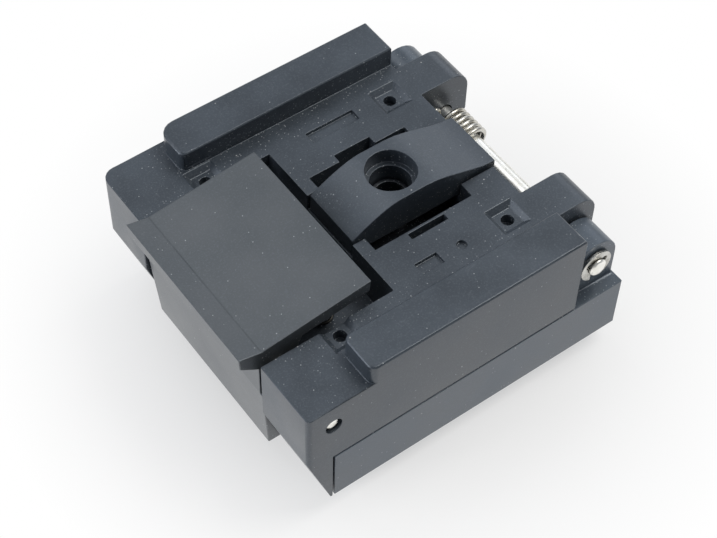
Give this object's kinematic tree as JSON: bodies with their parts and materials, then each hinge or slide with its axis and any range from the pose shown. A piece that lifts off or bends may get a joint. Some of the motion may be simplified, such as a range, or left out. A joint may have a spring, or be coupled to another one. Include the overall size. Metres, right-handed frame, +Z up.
{
  "type": "ic test socket",
  "caption": "Clamshell test and burn-in socket for a square flat-pack chip, with a sprung latch lever, a hinged lid and a floating pressure pad.",
  "frame": {"origin": "on the seating plane under the base, on the axis through the middle of the chip", "axes": "+X from the latch end to the hinge end, +Y from the front side wall to the back one, +Z up from the board"},
  "size_m": [0.0529, 0.0466, 0.0267],
  "materials": {
    "base_plastic": "fine grained moulding, blue-grey charcoal",
    "lid_plastic": "fine grained moulding, charcoal",
    "lever_plastic": "fine grained moulding, slightly warm charcoal",
    "pad_plastic": "smooth moulding, black",
    "nest_plastic": "smooth moulding, brown-grey",
    "contact_metal": "gold plated spring alloy in a plastic strip",
    "pin_steel": "ground and bright",
    "spring_steel": "drawn wire, bright",
    "ring_steel": "stamped, satin"
  },
  "bodies": {
    "base": {"base_housing": "base_plastic", "chip_nest": "nest_plastic", "contacts_hinge_side": "contact_metal", "contacts_back": "contact_metal", "contacts_latch_side": "contact_metal", "contacts_front": "contact_metal", "hinge_pin": "pin_steel", "e_ring_front": "ring_steel", "e_ring_back": "ring_steel", "hinge_spring": "spring_steel"},
    "lid": {"lid_frame": "lid_plastic", "pressure_bridge": "lid_plastic", "latch_pin": "pin_steel", "latch_spring_front": "spring_steel", "latch_spring_back": "spring_steel", "pad_spring_latch_side": "spring_steel", "pad_spring_hinge_side": "spring_steel", "pad_pin_latch_side": "pin_steel", "pad_pin_hinge_side": "pin_steel"},
    "lever": {"latch_lever": "lever_plastic"},
    "pad": {"pressure_pad": "pad_plastic"}
  },
  "joints": [
    {"name": "lid_swing", "type": "hinge", "parent": "base", "child": "lid", "pos_m": [0.0171, 0, 0.0138], "axis": [0, 1, 0], "range_deg": [0, 95], "deforming": ["hinge_spring"]},
    {"name": "latch_press", "type": "hinge", "parent": "lid", "child": "lever", "pos_m": [-0.0255, 0, 0.0163], "axis": [0, 1, 0], "range_deg": [0, 8], "stiffness_Nm_per_rad": 0.3, "springref_deg": -2.86, "deforming": ["latch_spring_front", "latch_spring_back"]},
    {"name": "pad_float", "type": "slide", "parent": "lid", "child": "pad", "axis": [0, 0, 1], "range_m": [0, 0.0008], "stiffness_N_per_m": 800, "springref_m": -0.0005, "deforming": ["pad_spring_latch_side", "pad_spring_hinge_side"]}
  ]
}
